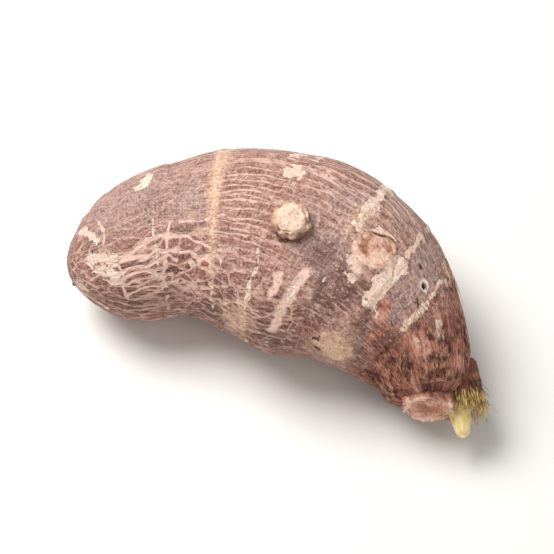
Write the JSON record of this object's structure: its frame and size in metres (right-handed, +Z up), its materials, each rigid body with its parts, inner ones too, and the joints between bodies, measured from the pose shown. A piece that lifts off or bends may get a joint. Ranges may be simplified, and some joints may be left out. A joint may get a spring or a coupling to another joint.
{
  "type": "taro root",
  "caption": "Small taro cormel, comma shaped and ringed, with side buds, bud scars, a frayed crown and a pale sprout, lying on its side.",
  "frame": {"origin": "on the surface that the root rests on, under the middle of its box", "axes": "+X from the base end along the corm to its crown, +Y towards the corm's bulging back, +Z up as the root lies"},
  "size_m": [0.0864, 0.0602, 0.0394],
  "materials": {
    "cork_skin": "dry corky skin, mauve brown, netted with fine cream lines and banded with cream leaf-scar rings",
    "dry_sheath": "torn papery fibre of old leaf sheaths, red brown to straw yellow",
    "sprout": null
  },
  "bodies": {
    "root": {"corm": "cork_skin", "sheath": "dry_sheath", "sprout": "sprout"}
  },
  "joints": []
}
